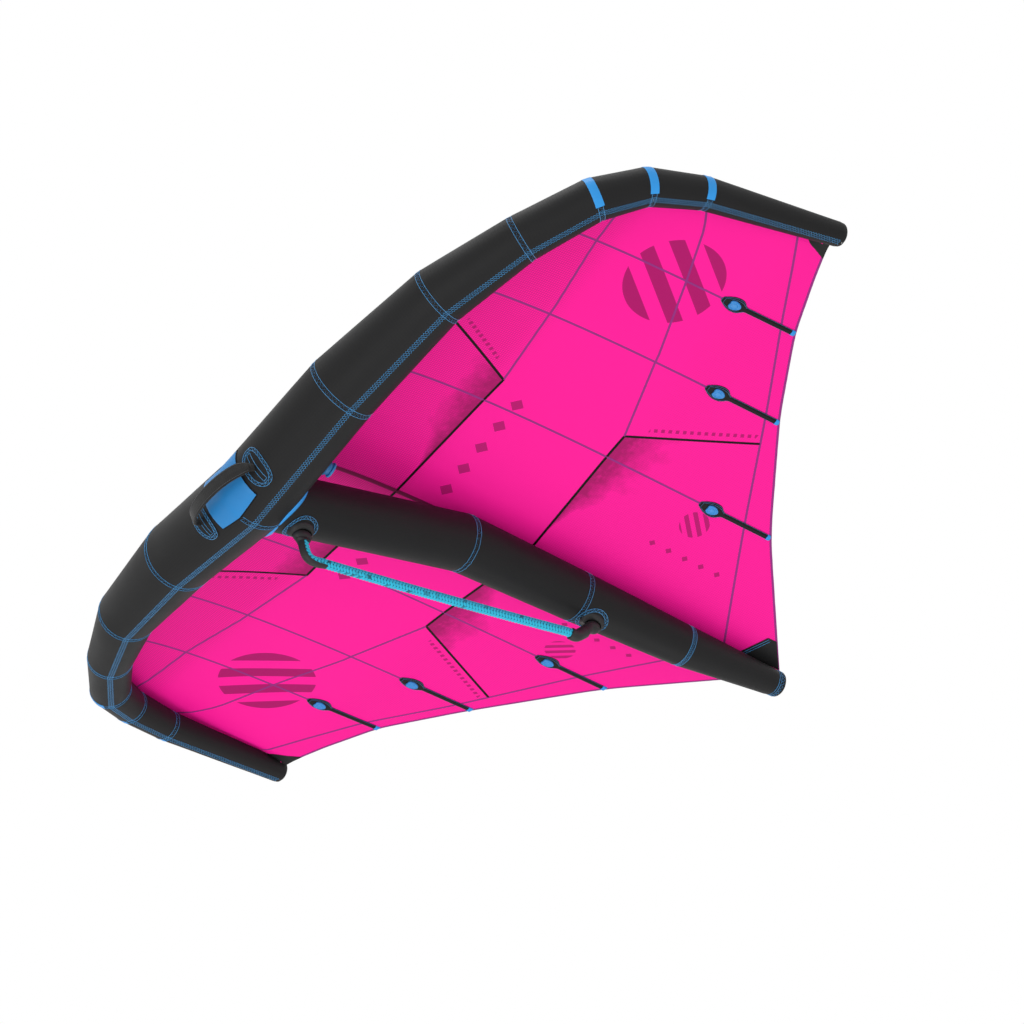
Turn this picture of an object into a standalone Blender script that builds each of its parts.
"""Inflatable hand wing for foiling: cloth tubes, strut, canopy, battens, handles and valve.

Metres. The origin is inside the leading edge tube at mid span, behind the front handle.
+X runs to the right tip, +Y from the leading edge to the trailing edge, and +Z is up as it flies.
"""

import math

import bmesh
import bpy
from mathutils import Matrix, Vector

# Clearances
SEAM_GAP = 0.0003
LAY_GAP = 0.0008
CUT_OVERRUN = 0.02

# Leading edge tube, from mid span to the tip: cross seams as shares of these sizes
HALF_SPAN = 1.400
TIP_SWEEP = 1.105
TIP_RISE = 0.350
TUBE_RADIUS = 0.116
TUBE_SPAN_SHARES = (0.0, 0.294, 0.561, 0.743, 0.873, 0.933, 0.966, 1.0)
TUBE_SWEEP_SHARES = (-0.0045, 0.032, 0.099, 0.201, 0.314, 0.434, 0.586, 1.0)
TUBE_RISE_SHARES = (0.103, 0.366, 0.583, 0.737, 0.874, 0.975, 1.0, 0.985)
TUBE_RADIUS_SHARES = (1.0, 0.945, 0.76, 0.605, 0.545, 0.48, 0.425, 0.313)
TUBE_SIDES = 28
CASING_WALL = 0.0012
BLADDER_WALL = 0.0010
BLADDER_SLACK = 0.0012
BLADDER_SIDES = 20
DOME_DEPTH_SHARE = 0.35
DOME_SHARES = ((0.55, 0.80), (0.88, 0.45))

# Strut under the canopy: its cross seams as shares of its length
STRUT_LENGTH = 1.946
STRUT_RADIUS = 0.088
STRUT_FRONT_RISE = 0.030
STRUT_SEAT = 0.0034
STRUT_LENGTH_SHARES = (0.0, 0.388, 0.603, 0.804, 0.982)
STRUT_RADIUS_SHARES = (0.99, 1.0, 0.90, 0.74, 0.47)
STRUT_SIDES = 24
TAIL_CAP_LENGTH = 0.020
STRUT_BLADDER_SHARE = 1.18

# Canopy: ribs from the tube's top to the trailing edge
CANOPY_CLOTH = 0.0012
TRAILING_CHORD = STRUT_LENGTH + 0.007
TRAILING_DROP = 0.026
TRAILING_CHORD_SHARES = (1.0, 0.825, 0.6985, 0.630, 0.592, 0.575, 0.566, 0.560)
TRAILING_RISE_SHARES = (0.0, 0.377, 0.66, 0.868, 0.948, 0.972, 0.98, 0.985)
TRAILING_END_SHARE = 0.980
FAN_START_SHARE = 0.86
SEWN_DEG = 35.0
SEWN_SHARES = (1.0, 0.80, 0.60, 0.46, 0.34, 0.14, -0.43, -1.70)
LEAVE_DEG = 52.0
LEAVE_SHARES = (1.0, 0.66, 0.50, 0.59, 0.36, 0.20, 0.08, 0.0)
REAR_TANGENT_DEG = 8.0
REAR_TANGENT_SHARES = (0.85, 1.11, 1.01, 0.76, 0.5, 0.4, 0.35, 0.35)
FRONT_REACH_SHARE = 0.181
REAR_REACH_SHARE = 0.412
SEAM_ONE_CHORD = 0.550
SEAM_TWO_CHORD = 1.010
HEM_CHORD = 1.735
SEAM_ONE_SHARES = (0.98, 1.035, 0.99, 0.93, 0.90, 0.88, 0.87, 0.86)
SEAM_TWO_SHARES = (1.0, 1.0, 0.91, 0.825, 0.75, 0.70, 0.66, 0.63)
HEM_SHARES = (1.0, 0.872, 0.758, 0.678, 0.619, 0.590, 0.574, 0.556)
CANOPY_END_STATION = 6.9
RIB_STATIONS = (0.0, 0.3, 0.65, 1.0, 1.5, 2.0, 2.5, 3.0, 3.5, 4.0, 4.5, 5.0, 5.5, 6.0, 6.45)
STRIP_POINT = 0.004

# Trailing edge battens, on the canopy's fore and aft seams, outermost first
BATTEN_SPAN_SHARES = (0.742, 0.545, 0.290)
BATTEN_LENGTHS = (0.257, 0.259, 0.254)
BATTEN_STOP_SHARES = (0.0, 0.25, 0.5, 0.75, 1.0)
BATTEN_WIDTH = 0.008
BATTEN_HEIGHT = 0.0020
POCKET_CLOTH = 0.0010
POCKET_HALF_WIDTH = 0.0085
POCKET_HEAD_HALF_WIDTH = 0.022
POCKET_HEAD_LENGTH = 0.085
POCKET_HEAD_SHARES = ((0.0, 0.42), (0.12, 0.78), (0.35, 1.0), (0.6, 0.85), (0.85, 0.5))
POCKET_CHANNEL_SHARES = (0.0, 0.5, 1.0)
POCKET_TAIL_INSET = 0.006
CAP_HALF_LENGTH = 0.019
CAP_HALF_WIDTH = 0.0155
CAP_HEIGHT = 0.0045
CAP_PLACE_SHARE = 0.45
CAP_PROFILE_SHARES = ((0.0, 1.0), (0.6, 1.0), (1.0, 0.78))
CAP_POINTS = 20
HEART_NOTCH_SHARE = 0.22
HEART_NOTCH_TURN = 0.45
HEART_TAPER_SHARE = 0.28

# Corner patches where the canopy meets the strut's tail
TAIL_PATCH_LENGTH = 0.150
TAIL_PATCH_START = 0.016
TAIL_PATCH_WIDTH = 0.100
PATCH_CLOTH = 0.0012
PATCH_RING_SHARES = (0.34, 0.67, 1.0)
PATCH_TURNS = 16

# Front handle on the leading edge
HANDLE_PATCH_DEG = 211.0
HANDLE_LEAN_DEG = 192.0
HANDLE_HALF_LENGTH = 0.130
HANDLE_STANDOFF = 0.066
STRAP_HALF_WIDTH = 0.0225
STRAP_HALF_THICKNESS = 0.0035
STRAP_END_RADIUS = 0.0060
STRAP_SIDES = 10
STRAP_BOW_POWER = 0.8
STRAP_TAPER_SHARE = 0.38
STRAP_SHARES = (-1.0, -0.94, -0.86, -0.76, -0.62, -0.42, -0.2, 0.0, 0.2, 0.42, 0.62, 0.76, 0.86, 0.94, 1.0)
END_PATCH_HALF_LENGTH = 0.031
END_PATCH_HALF_WIDTH = 0.058
PAD_ANGLE_DEG = 196.0
PAD_HALF_LENGTH = 0.080
PAD_HALF_WIDTH = 0.091
PAD_THICKNESS = 0.0030
PAD_COLUMN_SHARES = ((0.0, 1.0), (0.5, 0.97), (1.0, 0.93))
PAD_ROWS = 12

# Handle line under the strut
LINE_RADIUS = 0.014
FRONT_ANCHOR_CHORD = STRUT_LENGTH * 0.07297
REAR_ANCHOR_CHORD = STRUT_LENGTH * 0.62795
ANCHOR_PATCH_RADIUS = 0.043
BALL_HANG = 0.0200
BALL_RADIUS = 0.0197
BALL_DEGREES = (-80, -50, -20, 10, 40)
BOOT_STRETCHES = (1.6, 1.35)
BOOT_NECK_SHARES = (0.5, 1.0)
BOOT_SIDES = 16
FRONT_BOOT_LENGTH = 0.036
REAR_BOOT_LENGTH = 0.060
FRONT_BOOT_SLOPE_DEG = 86.0
REAR_BOOT_SLOPE_DEG = 38.0
LINE_FRONT_DROP = 0.076
LINE_REAR_DROP = 0.050
LINE_BEND_SHARES = (0.065, 0.105)
LINE_BOW = 0.006
LINE_STEPS = (6, 16, 4)
LINE_PULL_SHARES = (0.55, 0.45)
LINE_SIDES = 12

# Inflation valve on the tube's rear
VALVE_STATION = 0.47
VALVE_ANGLE_DEG = -20.0
VALVE_BORE_RADIUS = 0.0090
VALVE_NECK_RADIUS = 0.0140
VALVE_FLANGE_RADIUS = 0.0260
VALVE_FLANGE_HEIGHT = 0.0030
VALVE_COLLAR_RADIUS = 0.0200
VALVE_COLLAR_HEIGHT = 0.0100
VALVE_CAP_RADIUS = 0.0235
VALVE_CAP_HEIGHT = 0.0070
VALVE_CAP_SHARES = ((1.0, 0.0), (1.0, 0.6), (0.8, 1.0))
VALVE_DEPTH = 0.0080
VALVE_SIDES = 24
PORT_RADIUS = 0.0100

UP = Vector((0.0, 0.0, 1.0))
OUTBOARD = Vector((1.0, 0.0, 0.0))


def clear_scene():
    for obj in list(bpy.data.objects):
        bpy.data.objects.remove(obj, do_unlink=True)


def blend(a, b, share):
    return a + (b - a) * share


def bezier(a, b, c, d, share):
    rest = 1.0 - share
    return a * rest**3 + b * (3 * rest * rest * share) + c * (3 * rest * share * share) + d * share**3


def along(shares, station):
    """The value at a station of a table with one share for each cross seam."""
    low = min(int(station), len(shares) - 2)
    return blend(shares[low], shares[low + 1], station - low)


def solve(function, low, high, steps=40):
    """Where a rising function crosses zero between low and high, or the nearer end."""
    for _ in range(steps):
        middle = blend(low, high, 0.5)
        if function(middle) > 0.0:
            high = middle
        else:
            low = middle
    return low


class Tube:
    """A chain of straight cones joined in mitre planes, as panels of cloth are sewn."""

    def __init__(self, centres, radii, first_normal=None):
        self.centres = centres
        self.radii = radii
        self.headings = [(b - a).normalized() for a, b in zip(centres, centres[1:])]
        self.first_normal = first_normal or self.headings[0]

    def normal(self, index):
        if index == 0:
            return self.first_normal
        if index == len(self.headings):
            return self.headings[-1]
        return (self.headings[index - 1] + self.headings[index]).normalized()

    def seam_point(self, index, angle, offset=0.0):
        """On seam ring index: angle 0 is behind or inboard, 90 degrees is on top."""
        normal = self.normal(index)
        up = (UP - normal * UP.dot(normal)).normalized()
        ray = up.cross(normal) * math.cos(angle) + up * math.sin(angle)
        lean = ray.dot(self.headings[min(index, len(self.headings) - 1)])
        reach = (self.radii[index] + offset) / math.sqrt(1.0 - lean * lean)
        return self.centres[index] + ray * reach

    def point(self, station, angle, offset=0.0):
        low = min(int(station), len(self.headings) - 1)
        start = self.seam_point(low, angle, offset)
        end = self.seam_point(low + 1, angle, offset)
        return blend(start, end, station - low)

    def centre(self, station):
        low = min(int(station), len(self.headings) - 1)
        return blend(self.centres[low], self.centres[low + 1], station - low)

    def ring(self, index, sides, offset=0.0):
        return [self.seam_point(index, math.tau * n / sides, offset) for n in range(sides)]

    def dome(self, sides, offset=0.0):
        """The rings that close the far end with a low dome."""
        index = len(self.headings)
        depth = self.radii[index] * DOME_DEPTH_SHARE
        base = self.ring(index, sides, offset)
        centre = self.centres[index]
        rings = []
        for rise_share, width_share in DOME_SHARES:
            lift = self.headings[-1] * (depth * rise_share + offset)
            rings.append([centre + (p - centre) * width_share + lift for p in base])
        return rings


def leading_edge():
    centres = [
        Vector((HALF_SPAN * span, TIP_SWEEP * sweep, TIP_RISE * rise))
        for span, sweep, rise in zip(TUBE_SPAN_SHARES, TUBE_SWEEP_SHARES, TUBE_RISE_SHARES)
    ]
    return Tube(centres, [TUBE_RADIUS * share for share in TUBE_RADIUS_SHARES], OUTBOARD)


TUBE = leading_edge()


class Rib:
    """One fore and aft curve of the canopy, from where it is sewn to the tube to its rear edge."""

    def __init__(self, station):
        sewn = math.radians(SEWN_DEG * along(SEWN_SHARES, station))
        slope = math.radians(LEAVE_DEG * along(LEAVE_SHARES, station))
        rear_angle = math.radians(REAR_TANGENT_DEG * along(REAR_TANGENT_SHARES, station))
        self.front = TUBE.point(station, math.pi / 2 + sewn, LAY_GAP)
        self.rear = trailing_point(self.front.x)
        reach = self.rear - self.front
        level = Vector((reach.x, reach.y, 0.0)).normalized()
        chord = reach.length
        leave = level * math.cos(slope) + UP * math.sin(slope)
        arrive = level * math.cos(rear_angle) - UP * math.sin(rear_angle)
        self.front_pull = self.front + leave * (chord * FRONT_REACH_SHARE)
        self.rear_pull = self.rear - arrive * (chord * REAR_REACH_SHARE)

    def point(self, share):
        return bezier(self.front, self.front_pull, self.rear_pull, self.rear, share)

    def share_at(self, plan_line):
        """Where the rib passes behind a line drawn on the plan, or 0 where it starts behind it."""

        def behind(share):
            place = self.point(share)
            return place.y - plan_line(abs(place.x))

        return solve(behind, 0.0, 1.0)


def seam_station(x):
    """The station on the tube whose axis lies this far from mid span."""
    return solve(lambda station: TUBE.centre(station).x - x, 0.0, len(TUBE.headings))


def trailing_point(x):
    """The trailing edge behind the tube at x: past the fan's start it closes on the tip."""
    fan = HALF_SPAN * FAN_START_SHARE
    if x > fan:
        x = fan + (x - fan) * (HALF_SPAN * TRAILING_END_SHARE - fan) / (HALF_SPAN - fan)
    station = seam_station(x)
    rise = blend(TRAILING_DROP, TIP_RISE, along(TRAILING_RISE_SHARES, station))
    return Vector((x, TRAILING_CHORD * along(TRAILING_CHORD_SHARES, station), rise))


def plan_line(chord, shares):
    return lambda x: chord * along(shares, seam_station(x))


SEAM_LINES = (
    plan_line(SEAM_ONE_CHORD, SEAM_ONE_SHARES),
    plan_line(SEAM_TWO_CHORD, SEAM_TWO_SHARES),
    plan_line(HEM_CHORD, HEM_SHARES),
)


def canopy_under(x, y):
    """The canopy's underside over a place on the plan, inboard of the fan."""
    station = solve(lambda s: Rib(s).front.x - x, 0.0, len(TUBE.headings), 24)
    rib = Rib(station)
    return rib.point(solve(lambda share: rib.point(share).y - y, 0.0, 1.0)).z


def strut_chain():
    """The strut hangs its seams just under the canopy's middle rib, except at the nose."""
    middle = Rib(0.0)
    centres, radii = [], []
    for length_share, radius_share in zip(STRUT_LENGTH_SHARES, STRUT_RADIUS_SHARES):
        y = STRUT_LENGTH * length_share
        radius = STRUT_RADIUS * radius_share
        radii.append(radius)
        if length_share == 0.0:
            centres.append(Vector((0.0, 0.0, STRUT_FRONT_RISE)))
            continue
        roof = middle.point(solve(lambda share: middle.point(share).y - y, 0.0, 1.0)).z
        centres.append(Vector((0.0, y, roof - radius - STRUT_SEAT)))
    return Tube(centres, radii)


STRUT = strut_chain()


def material(name, colour, roughness, metallic=0.0):
    made = bpy.data.materials.get(name) or bpy.data.materials.new(name)
    made.use_nodes = True
    shader = made.node_tree.nodes["Principled BSDF"]
    shader.inputs["Base Color"].default_value = (*colour, 1.0)
    shader.inputs["Roughness"].default_value = roughness
    shader.inputs["Metallic"].default_value = metallic
    return made


def black_cloth(name):
    return material(name, (0.030, 0.030, 0.031), 0.62)


def pink_cloth(name):
    return material(name, (0.900, 0.021, 0.330), 0.50)


def blue_plastic(name):
    return material(name, (0.045, 0.330, 0.780), 0.40)


def add_piece(name, points, faces, made_of, side=1):
    """One closed body; side -1 makes the left one of a pair."""
    mesh = bpy.data.meshes.new(name)
    mesh.from_pydata([Vector((p.x * side, p.y, p.z)) for p in points], [], faces)
    work = bmesh.new()
    work.from_mesh(mesh)
    bmesh.ops.recalc_face_normals(work, faces=work.faces)
    work.to_mesh(mesh)
    work.free()
    mesh.shade_smooth()
    mesh.set_sharp_from_angle(angle=math.radians(40.0))
    mesh.materials.append(made_of)
    obj = bpy.data.objects.new(name, mesh)
    bpy.context.scene.collection.objects.link(obj)
    return obj


def carve(obj, cutter):
    """Cuts a helper's shape out of a piece."""
    cutter.hide_render = True
    cutter.display_type = "WIRE"
    cut = obj.modifiers.new("cut " + cutter.name, "BOOLEAN")
    cut.operation = "DIFFERENCE"
    cut.object = cutter


def set_origin(obj, place):
    """Moves a piece's origin and leaves its shape where it is."""
    obj.data.transform(Matrix.Translation(-place))
    obj.location = place


def bands(rings, first, closed=True):
    """Quads between rings whose points are numbered on from first."""
    sides = len(rings[0])
    faces = []
    for row in range(len(rings) - 1):
        for n in range(sides if closed else sides - 1):
            a = first + row * sides + n
            b = first + row * sides + (n + 1) % sides
            faces.append((a, b, b + sides, a + sides))
    return faces


def loft(rings):
    """A closed solid through rings, with flat ends."""
    sides, count = len(rings[0]), len(rings)
    faces = bands(rings, 0)
    faces.append(tuple(range(sides))[::-1])
    faces.append(tuple(range((count - 1) * sides, count * sides)))
    return [p for ring in rings for p in ring], faces


def pipe(outer, inner, end_closed=False):
    """A shell between outer and inner rings, open at its start and, unless closed, at its end."""
    sides = len(outer[0])
    inner_first = len(outer) * sides
    faces = bands(outer, 0) + [face[::-1] for face in bands(inner, inner_first)]
    ends = [(0, inner_first, 1)]
    outer_last = (len(outer) - 1) * sides
    inner_last = inner_first + (len(inner) - 1) * sides
    if end_closed:
        faces.append(tuple(range(outer_last, outer_last + sides)))
        faces.append(tuple(range(inner_last, inner_last + sides))[::-1])
    else:
        ends.append((outer_last, inner_last, -1))
    for out, into, way in ends:
        for n in range(sides):
            after = (n + 1) % sides
            faces.append((out + n, into + n, into + after, out + after)[::way])
    return [p for ring in outer + inner for p in ring], faces


def sheet(grid, lift):
    """A closed slab over a grid of points, raised by a vector."""
    rows, columns = len(grid), len(grid[0])
    under = [p for row in grid for p in row]
    count = len(under)
    low_faces, rim = [], []
    for i in range(rows - 1):
        for j in range(columns - 1):
            a = i * columns + j
            low_faces.append((a, a + 1, a + columns + 1, a + columns))
    rim += [(0, j) for j in range(columns - 1)]
    rim += [(i, columns - 1) for i in range(rows - 1)]
    rim += [(rows - 1, j) for j in range(columns - 1, 0, -1)]
    rim += [(i, 0) for i in range(rows - 1, 0, -1)]
    edge = [i * columns + j for i, j in rim]
    faces = low_faces + [tuple(v + count for v in face)[::-1] for face in low_faces]
    for a, b in zip(edge, edge[1:] + edge[:1]):
        faces.append((a, b, b + count, a + count))
    return under + [p + lift for p in under], faces


def turned(profile, origin, axis, sides):
    """A closed solid turned about an axis: profile is radius and height, from one end to the other."""
    across = axis.orthogonal().normalized()
    over = axis.cross(across)
    rings = []
    for radius, height in profile:
        turn = [math.tau * n / sides for n in range(sides)]
        rings.append([
            origin + axis * height + (across * math.cos(t) + over * math.sin(t)) * radius
            for t in turn
        ])
    return rings


def shift_ring(ring, vector):
    return [p + vector for p in ring]


def casing_panel(chain, index, sides, wall):
    """One sewn panel of a tube between two of its cross seams."""
    back_off = chain.headings[index] * (SEAM_GAP / 2)
    outer = [
        shift_ring(chain.ring(index, sides), back_off),
        shift_ring(chain.ring(index + 1, sides), -back_off),
    ]
    inner = [
        shift_ring(chain.ring(index, sides, -wall), back_off),
        shift_ring(chain.ring(index + 1, sides, -wall), -back_off),
    ]
    return outer, inner


def tube_panels():
    last = len(TUBE.headings) - 1
    for side, hand in ((1, "right"), (-1, "left")):
        for index in range(last + 1):
            outer, inner = casing_panel(TUBE, index, TUBE_SIDES, CASING_WALL)
            closed = index == last
            if closed:
                outer += TUBE.dome(TUBE_SIDES)
                inner += TUBE.dome(TUBE_SIDES, -CASING_WALL)
            name = f"tube_panel_{index + 1}_{hand}"
            points, faces = pipe(outer, inner, closed)
            panel = add_piece(name, points, faces, black_cloth("tube cloth"), side)
            if index == 0 and side == 1:
                carve(panel, valve_hole("casing_valve_hole"))


def whole_span(rings):
    """Rings of the right half, outermost first on the left, through to the right tip."""
    left = [[Vector((-p.x, p.y, p.z)) for p in ring] for ring in rings[:0:-1]]
    return left + rings


def span_solid(offset):
    half = [TUBE.ring(index, BLADDER_SIDES, offset) for index in range(len(TUBE.centres))]
    return loft(whole_span(half + TUBE.dome(BLADDER_SIDES, offset)))


def bladder_film():
    return material("bladder film", (0.55, 0.57, 0.6), 0.3)


def tube_bladder():
    """One air bag through all fourteen panels, drawn a little small so that it clears them."""
    skin = -CASING_WALL - BLADDER_SLACK
    bladder = add_piece("tube_bladder", *span_solid(skin), bladder_film())
    carve(bladder, add_piece("tube_bladder_air", *span_solid(skin - BLADDER_WALL), black_cloth("helper")))
    carve(bladder, valve_hole("bladder_valve_hole"))


def strut_panels():
    for index in range(len(STRUT.headings)):
        outer, inner = casing_panel(STRUT, index, STRUT_SIDES, CASING_WALL)
        points, faces = pipe(outer, inner)
        panel = add_piece(f"strut_panel_{index + 1}", points, faces, black_cloth("strut cloth"))
        if index == 0:
            half = [TUBE.ring(n, TUBE_SIDES, SEAM_GAP) for n in range(2)]
            carve(panel, add_piece("strut_saddle", *loft(whole_span(half)), black_cloth("helper")))


def tail_cap():
    """The round end of the strut, a short cup of doubled cloth."""
    end = STRUT.ring(len(STRUT.headings), STRUT_SIDES)
    into = STRUT.ring(len(STRUT.headings), STRUT_SIDES, -CASING_WALL)
    step = STRUT.headings[-1] * TAIL_CAP_LENGTH
    gap = STRUT.headings[-1] * (SEAM_GAP / 2)
    domes = [shift_ring(ring, step) for ring in STRUT.dome(STRUT_SIDES)]
    inner_domes = [shift_ring(ring, step) for ring in STRUT.dome(STRUT_SIDES, -CASING_WALL)]
    outer = [shift_ring(end, gap), shift_ring(end, step)] + domes
    inner = [shift_ring(into, gap), shift_ring(into, step - gap * 2)] + inner_domes
    add_piece("strut_tail_cap", *pipe(outer, inner, True), black_cloth("tail cap cloth"))


def strut_solid(offset, front_station):
    """The strut's room, from a front station to the end of its last panel."""
    rings = [STRUT.ring(n, BLADDER_SIDES, offset) for n in range(len(STRUT.centres))]
    front = [blend(a, b, front_station) for a, b in zip(rings[0], rings[1])]
    rings[0] = shift_ring(front, STRUT.headings[0] * -offset)
    rings[-1] = shift_ring(rings[-1], STRUT.headings[-1] * offset)
    return loft(rings)


def strut_bladder():
    skin = -CASING_WALL - BLADDER_SLACK
    start = strut_station(TUBE_RADIUS * STRUT_BLADDER_SHARE)
    bladder = add_piece("strut_bladder", *strut_solid(skin, start), bladder_film())
    air = add_piece("strut_bladder_air", *strut_solid(skin - BLADDER_WALL, start), black_cloth("helper"))
    carve(bladder, air)
    profile = ((PORT_RADIUS, -CUT_OVERRUN), (PORT_RADIUS, CUT_OVERRUN))
    port = turned(profile, STRUT.centre(start), STRUT.headings[0], VALVE_SIDES)
    carve(bladder, add_piece("strut_bladder_port", *loft(port), black_cloth("helper")))


def strip_limits(rib, number):
    """Where a strip of canopy starts and ends on a rib."""
    low = rib.share_at(SEAM_LINES[number - 1]) if number else 0.0
    high = rib.share_at(SEAM_LINES[number]) if number < len(SEAM_LINES) else 1.0
    return low, high


def strip_width(number, station):
    rib = Rib(station)
    low, high = strip_limits(rib, number)
    return (rib.point(high) - rib.point(low)).length


def strip_ends():
    """The stations where the strips ahead of the last one run out on the tube."""
    return [
        solve(lambda s, n=number: STRIP_POINT - strip_width(n, s), 1.0, CANOPY_END_STATION)
        for number in range(len(SEAM_LINES))
    ] + [CANOPY_END_STATION]


def strip_grid(number, rows, ends):
    """The ribs of one strip of canopy, cut between two plan lines."""
    stations = sorted({s for s in (*RIB_STATIONS, *ends) if s <= ends[number]})
    grid = []
    for station in stations:
        rib = Rib(station)
        low, high = strip_limits(rib, number)
        row = [rib.point(blend(low, high, n / rows)) for n in range(rows + 1)]
        along_rib = (row[-1] - row[0]).normalized() * (SEAM_GAP / 2)
        row[0] += along_rib if low > 0.0 else UP * 0.0
        row[-1] -= along_rib
        if station == 0.0:
            row = [p + OUTBOARD * (SEAM_GAP / 2) for p in row]
        grid.append(row)
    return grid


def canopy():
    strips = (("front", 7), ("middle", 4), ("rear", 6), ("trailing", 2))
    ends = strip_ends()
    for number, (place, rows) in enumerate(strips):
        points, faces = sheet(strip_grid(number, rows, ends), UP * CANOPY_CLOTH)
        for side, hand in ((1, "right"), (-1, "left")):
            add_piece(f"canopy_{place}_{hand}", points, faces, pink_cloth("canopy cloth"), side)


def tail_patches():
    """Black corner patches under the canopy, beside the strut's tail."""
    columns = 4
    grid = []
    for n in range(columns + 1):
        x = TAIL_PATCH_START + TAIL_PATCH_WIDTH * n / columns
        rear = trailing_point(x).y - STRIP_POINT
        front = rear - blend(TAIL_PATCH_LENGTH, STRIP_POINT, n / columns)
        row = [blend(front, rear, m / 2) for m in range(3)]
        lift = -LAY_GAP - PATCH_CLOTH
        grid.append([Vector((x, y, canopy_under(x, y) + lift)) for y in row])
    points, faces = sheet(grid, UP * PATCH_CLOTH)
    for side, hand in ((1, "right"), (-1, "left")):
        add_piece(f"tail_patch_{hand}", points, faces, black_cloth("patch cloth"), side)


def batten_places(number):
    """X of a batten and its front and rear ends."""
    x = HALF_SPAN * BATTEN_SPAN_SHARES[number]
    rear = trailing_point(x).y - POCKET_TAIL_INSET
    return x, rear - BATTEN_LENGTHS[number], rear


def batten_pockets():
    """Cloth channels sewn under the canopy, each with a wide head at its front."""
    half = BATTEN_WIDTH / 2 + SEAM_GAP
    depth = BATTEN_HEIGHT + 2 * SEAM_GAP
    for number in range(len(BATTEN_SPAN_SHARES)):
        x, front, rear = batten_places(number)
        stops = [(front + POCKET_HEAD_LENGTH * share, POCKET_HEAD_HALF_WIDTH * width)
                 for share, width in POCKET_HEAD_SHARES]
        for share in POCKET_CHANNEL_SHARES:
            start = front + POCKET_HEAD_LENGTH
            stops.append((blend(start, rear, share), POCKET_HALF_WIDTH))
        rings = []
        for y, wide in stops:
            wide = max(wide, POCKET_HALF_WIDTH)
            ring = []
            section = (
                (-wide, 0.0), (-half, 0.0), (-half, -depth), (half, -depth), (half, 0.0), (wide, 0.0),
                (wide, -POCKET_CLOTH), (half + POCKET_CLOTH, -depth - POCKET_CLOTH),
                (-half - POCKET_CLOTH, -depth - POCKET_CLOTH), (-wide, -POCKET_CLOTH),
            )
            for across, down in section:
                roof = canopy_under(x + across, y)
                ring.append(Vector((x + across, y, roof - LAY_GAP + down)))
            rings.append(ring)
        points, faces = loft(rings)
        for side, hand in ((1, "right"), (-1, "left")):
            name = f"batten_pocket_{number + 1}_{hand}"
            add_piece(name, points, faces, black_cloth("pocket cloth"), side)


def battens():
    """Flat glass fibre battens, sprung to the canopy's curve in their pockets."""
    half = BATTEN_WIDTH / 2
    for number in range(len(BATTEN_SPAN_SHARES)):
        x, front, rear = batten_places(number)
        rings = []
        for share in BATTEN_STOP_SHARES:
            y = blend(front + POCKET_TAIL_INSET, rear - POCKET_TAIL_INSET, share)
            roof = canopy_under(x, y) - LAY_GAP - SEAM_GAP
            lean = (canopy_under(x + half, y) - canopy_under(x - half, y)) / BATTEN_WIDTH
            ring = []
            for across, down in ((-half, 0.0), (half, 0.0), (half, -BATTEN_HEIGHT), (-half, -BATTEN_HEIGHT)):
                ring.append(Vector((x + across, y, roof + across * lean + down)))
            rings.append(ring)
        points, faces = loft(rings)
        for side, hand in ((1, "right"), (-1, "left")):
            glass = material("batten fibre", (0.80, 0.79, 0.72), 0.45)
            add_piece(f"batten_{number + 1}_{hand}", points, faces, glass, side)


def heart(share):
    """A rounded heart about its centre, its notch to the front, for a turn share from 0 to 1."""
    turn = math.tau * share
    from_notch = math.remainder(turn - math.pi, math.tau) / HEART_NOTCH_TURN
    notch = 1.0 - HEART_NOTCH_SHARE * math.exp(-(from_notch**2))
    taper = 1.0 - HEART_TAPER_SHARE * (1.0 + math.cos(turn)) / 2
    return Vector((math.sin(turn) * taper, math.cos(turn) * notch, 0.0))


def batten_caps():
    """Moulded caps that close the pockets' heads."""
    for number in range(len(BATTEN_SPAN_SHARES)):
        x, front, _ = batten_places(number)
        y = front + POCKET_HEAD_LENGTH * CAP_PLACE_SHARE
        slope = (canopy_under(x, y + CAP_HALF_LENGTH) - canopy_under(x, y - CAP_HALF_LENGTH))
        slope /= 2 * CAP_HALF_LENGTH
        half = BATTEN_WIDTH / 2
        lean = (canopy_under(x + half, y) - canopy_under(x - half, y)) / BATTEN_WIDTH
        top = canopy_under(x, y) - LAY_GAP - 4 * SEAM_GAP - BATTEN_HEIGHT - POCKET_CLOTH
        rings = []
        for depth_share, size in CAP_PROFILE_SHARES:
            ring = []
            for n in range(CAP_POINTS):
                spot = heart(n / CAP_POINTS) * size
                across, back = spot.x * CAP_HALF_WIDTH, spot.y * CAP_HALF_LENGTH
                z = top + across * lean + back * slope - CAP_HEIGHT * depth_share
                ring.append(Vector((x + across, y + back, z)))
            rings.append(ring)
        points, faces = loft(rings)
        for side, hand in ((1, "right"), (-1, "left")):
            add_piece(f"batten_cap_{number + 1}_{hand}", points, faces, blue_plastic("cap plastic"), side)


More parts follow.
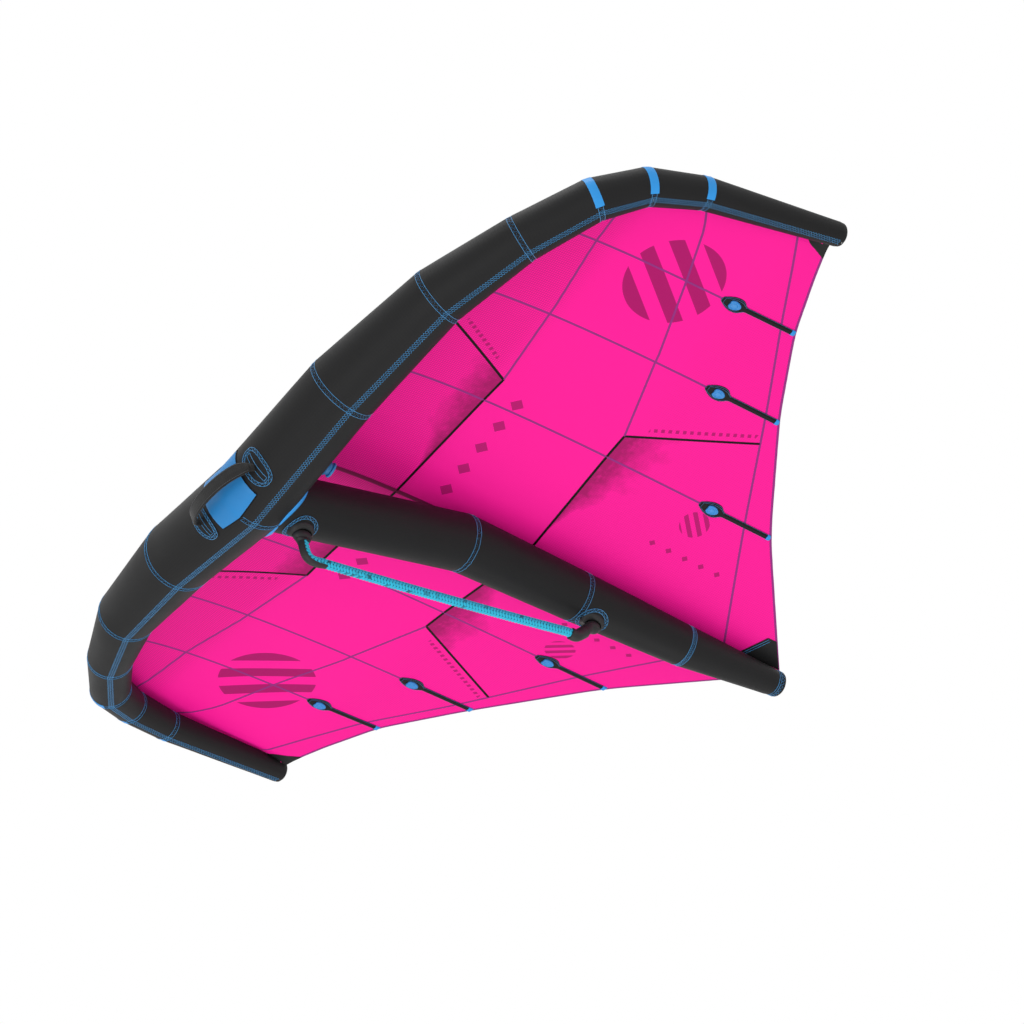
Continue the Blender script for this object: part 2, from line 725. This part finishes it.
def patch_disc(chain, place, half_length, half_width):
    """An oval patch wrapped on a tube: place is a station and an angle."""
    station, angle = place
    turns = PATCH_TURNS
    index = min(int(station), len(chain.headings) - 1)
    length = (chain.centres[index + 1] - chain.centres[index]).length
    radius = (chain.point(station, angle) - chain.centre(station)).length
    layers = []
    for height in (LAY_GAP, LAY_GAP + PATCH_CLOTH):
        layer = [chain.point(station, angle, height)]
        for share in PATCH_RING_SHARES:
            for n in range(turns):
                turn = math.tau * n / turns
                along_tube = station + half_length * share * math.cos(turn) / length
                round_tube = angle + half_width * share * math.sin(turn) / radius
                layer.append(chain.point(along_tube, round_tube, height))
        layers.append(layer)
    size = len(layers[0])
    under = [(0, 1 + (n + 1) % turns, 1 + n) for n in range(turns)]
    for first in range(1, size - turns, turns):
        for n in range(turns):
            after = (n + 1) % turns
            under.append((first + n, first + after, first + turns + after, first + turns + n))
    faces = under + [tuple(v + size for v in face)[::-1] for face in under]
    for n in range(turns):
        a, b = size - turns + n, size - turns + (n + 1) % turns
        faces.append((a, b, b + size, a + size))
    return layers[0] + layers[1], faces


def handle_station():
    return HANDLE_HALF_LENGTH / (TUBE.centres[1] - TUBE.centres[0]).length


def handle_patches():
    place = (handle_station(), math.radians(HANDLE_PATCH_DEG))
    points, faces = patch_disc(TUBE, place, END_PATCH_HALF_LENGTH, END_PATCH_HALF_WIDTH)
    for side, hand in ((1, "right"), (-1, "left")):
        add_piece(f"handle_patch_{hand}", points, faces, black_cloth("patch cloth"), side)


def window_pad():
    """The padded window behind the handle, folded over the middle seam."""
    angle = math.radians(PAD_ANGLE_DEG)
    length = (TUBE.centres[1] - TUBE.centres[0]).length
    columns = [(-share, width) for share, width in PAD_COLUMN_SHARES[:0:-1]]
    columns += list(PAD_COLUMN_SHARES)
    low, high = [], []
    for share, width in columns:
        station = abs(share) * PAD_HALF_LENGTH / length
        low_row, high_row = [], []
        for n in range(PAD_ROWS + 1):
            turn = angle + (2.0 * n / PAD_ROWS - 1.0) * width * PAD_HALF_WIDTH / TUBE_RADIUS
            for row, height in ((low_row, LAY_GAP), (high_row, LAY_GAP + PAD_THICKNESS)):
                spot = TUBE.point(station, turn, height)
                row.append(Vector((math.copysign(spot.x, share), spot.y, spot.z)))
        low.append(low_row)
        high.append(high_row)
    points, faces = sheet(low, UP * 0.0)
    count = len(points) // 2
    points = points[:count] + [p for row in high for p in row]
    add_piece("window_pad", points, faces, blue_plastic("window cloth"))


def handle_axis():
    """The point on the right that the strap's end turns about; the axis runs along X."""
    angle = math.radians(HANDLE_PATCH_DEG)
    height = LAY_GAP + PATCH_CLOTH + SEAM_GAP + STRAP_END_RADIUS
    return TUBE.point(handle_station(), angle, height)


def handle_strap():
    """A webbing strap, round where it is sewn down and wide at the grip."""
    end = handle_axis()
    lean = math.radians(HANDLE_LEAN_DEG)
    outward = Vector((0.0, math.cos(lean), math.sin(lean)))
    across = OUTBOARD.cross(outward)
    rings = []
    for share in STRAP_SHARES:
        grip = min(1.0, (1.0 - abs(share)) / STRAP_TAPER_SHARE)
        wide = blend(STRAP_END_RADIUS, STRAP_HALF_WIDTH, grip)
        thick = blend(STRAP_END_RADIUS, STRAP_HALF_THICKNESS, grip)
        bow = HANDLE_STANDOFF * math.cos(share * math.pi / 2) ** STRAP_BOW_POWER
        middle = Vector((end.x * math.sin(share * math.pi / 2), end.y, end.z)) + outward * bow
        turns = [math.tau * n / STRAP_SIDES for n in range(STRAP_SIDES)]
        rings.append([
            middle + outward * (thick * math.cos(t)) + across * (wide * math.sin(t)) for t in turns
        ])
    strap = add_piece("handle_strap", *loft(rings), black_cloth("strap webbing"))
    set_origin(strap, Vector((0.0, end.y, end.z)))


def strut_station(y):
    return solve(lambda s: STRUT.centre(s).y - y, 0.0, len(STRUT.headings))


def anchor_ball(y):
    """The centre of a boot's round head, hung under the strut at y."""
    hang = LAY_GAP + PATCH_CLOTH + SEAM_GAP + BALL_HANG
    return STRUT.point(strut_station(y), -math.pi / 2, hang)


def anchor_patches():
    for name, y in (("front_anchor_patch", FRONT_ANCHOR_CHORD), ("rear_anchor_patch", REAR_ANCHOR_CHORD)):
        place = (strut_station(y), -math.pi / 2)
        points, faces = patch_disc(STRUT, place, ANCHOR_PATCH_RADIUS, ANCHOR_PATCH_RADIUS)
        add_piece(name, points, faces, black_cloth("patch cloth"))


def boot_headings():
    front = math.radians(FRONT_BOOT_SLOPE_DEG)
    rear = math.radians(REAR_BOOT_SLOPE_DEG)
    return (
        Vector((0.0, math.cos(front), -math.sin(front))),
        Vector((0.0, -math.cos(rear), -math.sin(rear))),
    )


def boots():
    """Rubber boots: a hood under the strut, long along the swing's axis, that narrows to the line."""
    names = ("front_boot", "rear_boot")
    lengths = (FRONT_BOOT_LENGTH, REAR_BOOT_LENGTH)
    centres = (anchor_ball(FRONT_ANCHOR_CHORD), anchor_ball(REAR_ANCHOR_CHORD))
    axis = (centres[1] - centres[0]).normalized()
    for name, centre, length, heading, stretch in zip(names, centres, lengths, boot_headings(), BOOT_STRETCHES):
        profile = []
        for degrees in BALL_DEGREES:
            turn = math.radians(degrees)
            profile.append((BALL_RADIUS * math.cos(turn), BALL_RADIUS * math.sin(turn)))
        shoulder_radius, shoulder = profile[-1]
        for share in BOOT_NECK_SHARES:
            profile.append((blend(shoulder_radius, LINE_RADIUS, share), blend(shoulder, length, share)))
        rings = turned(profile, centre, heading, BOOT_SIDES)
        for n, ring in enumerate(rings):
            longer = blend(stretch, 1.0, max(0.0, n - 3) / (len(rings) - 4)) - 1.0
            rings[n] = [p + axis * ((p - centre).dot(axis) * longer) for p in ring]
        boot = add_piece(name, *loft(rings), material("boot rubber", (0.035, 0.035, 0.036), 0.75))
        set_origin(boot, centre)


def line_route():
    """The line's own points, in the wing's middle plane, from boot to boot."""
    front, rear = anchor_ball(FRONT_ANCHOR_CHORD), anchor_ball(REAR_ANCHOR_CHORD)
    leave, arrive = boot_headings()
    start = front + leave * (FRONT_BOOT_LENGTH + SEAM_GAP)
    end = rear + arrive * (REAR_BOOT_LENGTH + SEAM_GAP)
    span = (rear - front).length
    low_front = Vector((0.0, front.y + span * LINE_BEND_SHARES[0], front.z - LINE_FRONT_DROP))
    low_rear = Vector((0.0, rear.y - span * LINE_BEND_SHARES[1], rear.z - LINE_REAR_DROP))
    return start, leave, low_front, low_rear, end, arrive


def line_points():
    """A smooth path: a bend out of the front boot, then a shallow bow into the rear one."""
    start, leave, low_front, low_rear, end, arrive = line_route()
    front_run, rear_run = start + leave * LINE_RADIUS, end + arrive * LINE_RADIUS
    run = low_rear - low_front
    level = run.normalized()
    bend = (low_front - front_run).length
    turn = (low_rear - rear_run).length
    near, far = LINE_PULL_SHARES
    stretches = (
        (front_run, front_run + leave * bend * near, low_front - level * bend * far, low_front),
        (low_front, low_front + run / 3 - UP * LINE_BOW, low_rear - run / 3 - UP * LINE_BOW, low_rear),
        (low_rear, low_rear + level * turn * far, rear_run + arrive * turn * near, rear_run),
    )
    points = [start]
    for stretch, count in zip(stretches, LINE_STEPS):
        points += [bezier(*stretch, n / count) for n in range(count)]
    return points + [rear_run, end]


def handle_line():
    points = line_points()
    curve = bpy.data.curves.new("handle_line", "CURVE")
    curve.dimensions = "3D"
    curve.bevel_depth = LINE_RADIUS
    curve.bevel_resolution = LINE_SIDES // 4 - 1
    curve.use_fill_caps = True
    spline = curve.splines.new("POLY")
    spline.points.add(len(points) - 1)
    origin = anchor_ball(FRONT_ANCHOR_CHORD)
    for slot, place in zip(spline.points, points):
        slot.co = (*(place - origin), 1.0)
    curve.materials.append(material("braided line", (0.03, 0.52, 0.74), 0.7))
    line = bpy.data.objects.new("handle_line", curve)
    line.location = origin
    bpy.context.scene.collection.objects.link(line)


def valve_frame():
    angle = math.radians(VALVE_ANGLE_DEG)
    seat = TUBE.point(VALVE_STATION, angle)
    outward = seat - TUBE.centre(VALVE_STATION)
    outward -= TUBE.headings[0] * outward.dot(TUBE.headings[0])
    return seat, outward.normalized()


def valve_hole(name):
    seat, outward = valve_frame()
    radius = VALVE_NECK_RADIUS + SEAM_GAP
    rings = turned(((radius, -CUT_OVERRUN), (radius, CUT_OVERRUN)), seat, outward, VALVE_SIDES)
    return add_piece(name, *loft(rings), black_cloth("helper"))


def valve():
    """The inflation valve: a flange on the casing, a neck into the bladder and a hinged cap."""
    seat, outward = valve_frame()
    flange_top = SEAM_GAP + VALVE_FLANGE_HEIGHT
    collar_top = flange_top + VALVE_COLLAR_HEIGHT
    outside = (
        (VALVE_NECK_RADIUS, -VALVE_DEPTH), (VALVE_NECK_RADIUS, SEAM_GAP),
        (VALVE_FLANGE_RADIUS, SEAM_GAP), (VALVE_FLANGE_RADIUS, flange_top),
        (VALVE_COLLAR_RADIUS, flange_top), (VALVE_COLLAR_RADIUS, collar_top),
    )
    bore = ((VALVE_BORE_RADIUS, -VALVE_DEPTH), (VALVE_BORE_RADIUS, collar_top))
    body = pipe(
        turned(outside, seat, outward, VALVE_SIDES), turned(bore, seat, outward, VALVE_SIDES)
    )
    add_piece("valve_body", *body, material("valve plastic", (0.035, 0.22, 0.55), 0.35))
    lift = collar_top + SEAM_GAP
    lid = [(VALVE_CAP_RADIUS * wide, lift + VALVE_CAP_HEIGHT * high) for wide, high in VALVE_CAP_SHARES]
    cap = add_piece(
        "valve_cap", *loft(turned(lid, seat, outward, VALVE_SIDES)), blue_plastic("valve cap plastic")
    )
    upright = (UP - outward * UP.dot(outward)).normalized()
    set_origin(cap, seat + outward * lift + upright * VALVE_CAP_RADIUS)


def main():
    clear_scene()
    tube_panels()
    tube_bladder()
    strut_panels()
    tail_cap()
    strut_bladder()
    canopy()
    tail_patches()
    batten_pockets()
    battens()
    batten_caps()
    handle_patches()
    window_pad()
    handle_strap()
    anchor_patches()
    boots()
    handle_line()
    valve()


main()
